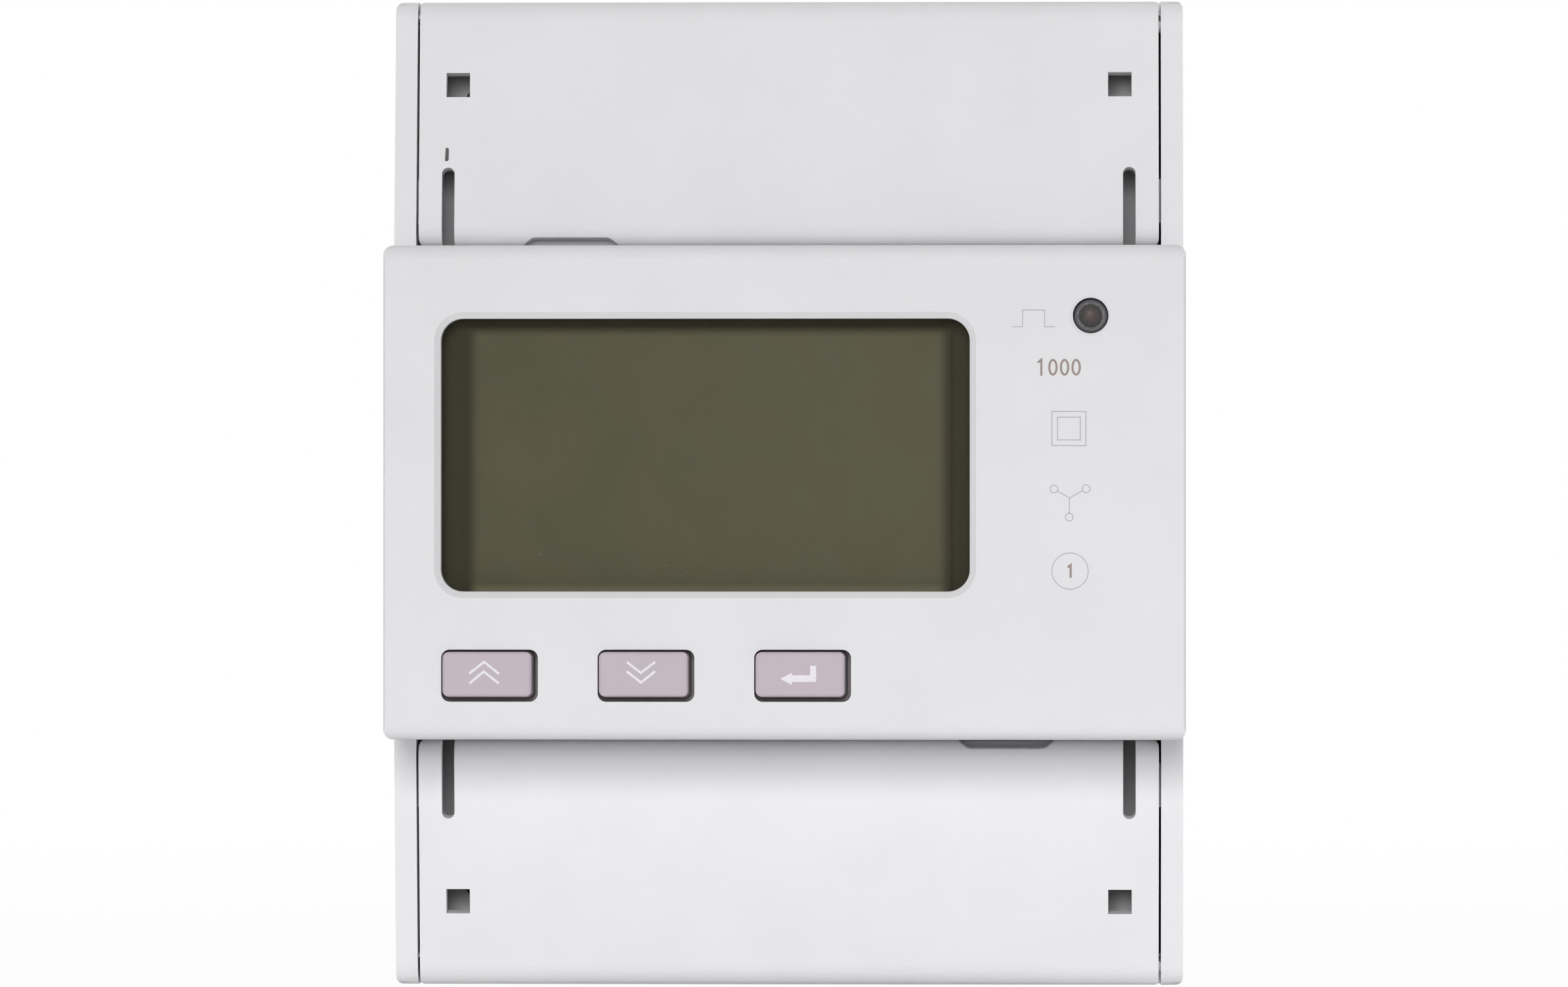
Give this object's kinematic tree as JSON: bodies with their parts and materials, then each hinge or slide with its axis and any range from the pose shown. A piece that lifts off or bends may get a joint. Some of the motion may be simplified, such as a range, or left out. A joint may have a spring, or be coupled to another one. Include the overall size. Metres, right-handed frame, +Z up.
{
  "type": "three-phase energy meter",
  "caption": "Four-module three-phase energy meter for a mounting rail: display window, keys, pulse lamp, hinged terminal covers, screw terminals and a sprung rail clip.",
  "frame": {"origin": "middle of the plane on which the mounting rail's front face seats", "axes": "X to the right, Y towards the rail and the wall, Z up; the front faces -Y"},
  "size_m": [0.072, 0.0666, 0.09],
  "materials": {
    "housing_plastic": "fine matte moulded surface",
    "window_plastic": "clear, slightly tinted, polished",
    "polariser_film": "olive film, satin",
    "display_glass": "dark glass, polished",
    "backlight_plastic": "white, diffusing",
    "inner_plastic": "black, matte",
    "board_laminate": "green board, satin",
    "pin_metal": "plated pins, bright",
    "screw_steel": "zinc plated, fine turned",
    "chip_plastic": "black, matte",
    "battery_steel": "nickel plated, satin",
    "lamp_plastic": "clear tinted lens, polished",
    "key_plastic": "pale mauve, satin",
    "ferrite": "dark sintered core, matte",
    "winding_tape": "wound tape, satin",
    "capacitor_can": "sleeved can, satin",
    "varistor_coat": "dipped disc, satin",
    "terminal_plastic": "mid grey, matte",
    "copper_bar": "tinned copper, dull",
    "cage_steel": "zinc plated, satin",
    "socket_plastic": "green, satin",
    "clip_plastic": "black, satin",
    "spring_steel": "drawn wire, bright"
  },
  "bodies": {
    "meter": {"base_housing": "housing_plastic", "front_panel": "housing_plastic", "display_window": "window_plastic", "lcd_polariser": "polariser_film", "lcd_cell": "display_glass", "lcd_backlight": "backlight_plastic", "lcd_holder": "inner_plastic", "lcd_pins": "pin_metal", "display_board": "board_laminate", "display_board_screws": "screw_steel", "display_chips": "chip_plastic", "backup_battery": "battery_steel", "pulse_led": "lamp_plastic", "led_spacer": "inner_plastic", "led_leads": "pin_metal", "key_switches": "inner_plastic", "board_header": "inner_plastic", "header_pins": "pin_metal", "header_socket": "inner_plastic", "measuring_board": "board_laminate", "measuring_board_screws": "screw_steel", "metering_chips": "chip_plastic", "supply_transformer": "ferrite", "transformer_winding": "winding_tape", "filter_capacitors": "capacitor_can", "surge_varistors": "varistor_coat", "current_transformers": "chip_plastic", "voltage_taps": "pin_metal", "busbars": "copper_bar", "upper_terminal_block": "terminal_plastic", "lower_terminal_block": "terminal_plastic", "signal_socket": "socket_plastic", "signal_pins": "pin_metal", "din_clip_spring": "spring_steel"},
    "key_up": {"key_up": "key_plastic", "switch_plunger_key_up": "inner_plastic"},
    "key_down": {"key_down": "key_plastic", "switch_plunger_key_down": "inner_plastic"},
    "key_enter": {"key_enter": "key_plastic", "switch_plunger_key_enter": "inner_plastic"},
    "upper_cover": {"upper_cover": "housing_plastic"},
    "lower_cover": {"lower_cover": "housing_plastic"},
    "terminal_screw_1": {"terminal_screw_1": "screw_steel"},
    "terminal_cage_1": {"terminal_cage_1": "cage_steel"},
    "terminal_screw_2": {"terminal_screw_2": "screw_steel"},
    "terminal_cage_2": {"terminal_cage_2": "cage_steel"},
    "terminal_screw_3": {"terminal_screw_3": "screw_steel"},
    "terminal_cage_3": {"terminal_cage_3": "cage_steel"},
    "terminal_screw_4": {"terminal_screw_4": "screw_steel"},
    "terminal_cage_4": {"terminal_cage_4": "cage_steel"},
    "terminal_screw_5": {"terminal_screw_5": "screw_steel"},
    "terminal_cage_5": {"terminal_cage_5": "cage_steel"},
    "terminal_screw_6": {"terminal_screw_6": "screw_steel"},
    "terminal_cage_6": {"terminal_cage_6": "cage_steel"},
    "terminal_screw_7": {"terminal_screw_7": "screw_steel"},
    "terminal_cage_7": {"terminal_cage_7": "cage_steel"},
    "terminal_screw_8": {"terminal_screw_8": "screw_steel"},
    "terminal_cage_8": {"terminal_cage_8": "cage_steel"},
    "din_clip": {"din_clip": "clip_plastic"}
  },
  "joints": [
    {"name": "key_up_press", "type": "slide", "parent": "meter", "child": "key_up", "axis": [0, 1, 0], "range_m": [0, 0.0005], "stiffness_N_per_m": 800, "springref_m": -0.0005},
    {"name": "key_down_press", "type": "slide", "parent": "meter", "child": "key_down", "axis": [0, 1, 0], "range_m": [0, 0.0005], "stiffness_N_per_m": 800, "springref_m": -0.0005},
    {"name": "key_enter_press", "type": "slide", "parent": "meter", "child": "key_enter", "axis": [0, 1, 0], "range_m": [0, 0.0005], "stiffness_N_per_m": 800, "springref_m": -0.0005},
    {"name": "upper_cover_hinge", "type": "hinge", "parent": "meter", "child": "upper_cover", "pos_m": [0, -0.04158, 0.043], "axis": [-1, 0, 0], "range_deg": [0, 105]},
    {"name": "lower_cover_hinge", "type": "hinge", "parent": "meter", "child": "lower_cover", "pos_m": [0, -0.04158, -0.043], "axis": [1, 0, 0], "range_deg": [0, 105]},
    {"name": "terminal_screw_1_turn", "type": "hinge", "parent": "meter", "child": "terminal_screw_1", "pos_m": [-0.0266, -0.0364, 0.0348], "axis": [0, 1, 0], "range_deg": [0, 2880]},
    {"name": "terminal_cage_1_rise", "type": "slide", "parent": "meter", "child": "terminal_cage_1", "axis": [0, -1, 0], "range_m": [0, 0.0064]},
    {"name": "terminal_screw_2_turn", "type": "hinge", "parent": "meter", "child": "terminal_screw_2", "pos_m": [-0.013, -0.0364, 0.0348], "axis": [0, 1, 0], "range_deg": [0, 2880]},
    {"name": "terminal_cage_2_rise", "type": "slide", "parent": "meter", "child": "terminal_cage_2", "axis": [0, -1, 0], "range_m": [0, 0.0064]},
    {"name": "terminal_screw_3_turn", "type": "hinge", "parent": "meter", "child": "terminal_screw_3", "pos_m": [0.0006, -0.0364, 0.0348], "axis": [0, 1, 0], "range_deg": [0, 2880]},
    {"name": "terminal_cage_3_rise", "type": "slide", "parent": "meter", "child": "terminal_cage_3", "axis": [0, -1, 0], "range_m": [0, 0.0064]},
    {"name": "terminal_screw_4_turn", "type": "hinge", "parent": "meter", "child": "terminal_screw_4", "pos_m": [0.0142, -0.0364, 0.0348], "axis": [0, 1, 0], "range_deg": [0, 2880]},
    {"name": "terminal_cage_4_rise", "type": "slide", "parent": "meter", "child": "terminal_cage_4", "axis": [0, -1, 0], "range_m": [0, 0.0064]},
    {"name": "terminal_screw_5_turn", "type": "hinge", "parent": "meter", "child": "terminal_screw_5", "pos_m": [-0.0266, -0.0364, -0.0348], "axis": [0, 1, 0], "range_deg": [0, 2880]},
    {"name": "terminal_cage_5_rise", "type": "slide", "parent": "meter", "child": "terminal_cage_5", "axis": [0, -1, 0], "range_m": [0, 0.0064]},
    {"name": "terminal_screw_6_turn", "type": "hinge", "parent": "meter", "child": "terminal_screw_6", "pos_m": [-0.013, -0.0364, -0.0348], "axis": [0, 1, 0], "range_deg": [0, 2880]},
    {"name": "terminal_cage_6_rise", "type": "slide", "parent": "meter", "child": "terminal_cage_6", "axis": [0, -1, 0], "range_m": [0, 0.0064]},
    {"name": "terminal_screw_7_turn", "type": "hinge", "parent": "meter", "child": "terminal_screw_7", "pos_m": [0.0006, -0.0364, -0.0348], "axis": [0, 1, 0], "range_deg": [0, 2880]},
    {"name": "terminal_cage_7_rise", "type": "slide", "parent": "meter", "child": "terminal_cage_7", "axis": [0, -1, 0], "range_m": [0, 0.0064]},
    {"name": "terminal_screw_8_turn", "type": "hinge", "parent": "meter", "child": "terminal_screw_8", "pos_m": [0.0142, -0.0364, -0.0348], "axis": [0, 1, 0], "range_deg": [0, 2880]},
    {"name": "terminal_cage_8_rise", "type": "slide", "parent": "meter", "child": "terminal_cage_8", "axis": [0, -1, 0], "range_m": [0, 0.0064]},
    {"name": "din_clip_slide", "type": "slide", "parent": "meter", "child": "din_clip", "axis": [0, 0, -1], "range_m": [0, 0.003], "stiffness_N_per_m": 700, "springref_m": -0.003, "deforming": ["din_clip_spring"]}
  ],
  "couplings": [
    {"joint": "terminal_screw_1_turn", "follows": "terminal_cage_1_rise", "rad_per_m": 7854},
    {"joint": "terminal_screw_2_turn", "follows": "terminal_cage_2_rise", "rad_per_m": 7854},
    {"joint": "terminal_screw_3_turn", "follows": "terminal_cage_3_rise", "rad_per_m": 7854},
    {"joint": "terminal_screw_4_turn", "follows": "terminal_cage_4_rise", "rad_per_m": 7854},
    {"joint": "terminal_screw_5_turn", "follows": "terminal_cage_5_rise", "rad_per_m": 7854},
    {"joint": "terminal_screw_6_turn", "follows": "terminal_cage_6_rise", "rad_per_m": 7854},
    {"joint": "terminal_screw_7_turn", "follows": "terminal_cage_7_rise", "rad_per_m": 7854},
    {"joint": "terminal_screw_8_turn", "follows": "terminal_cage_8_rise", "rad_per_m": 7854}
  ]
}
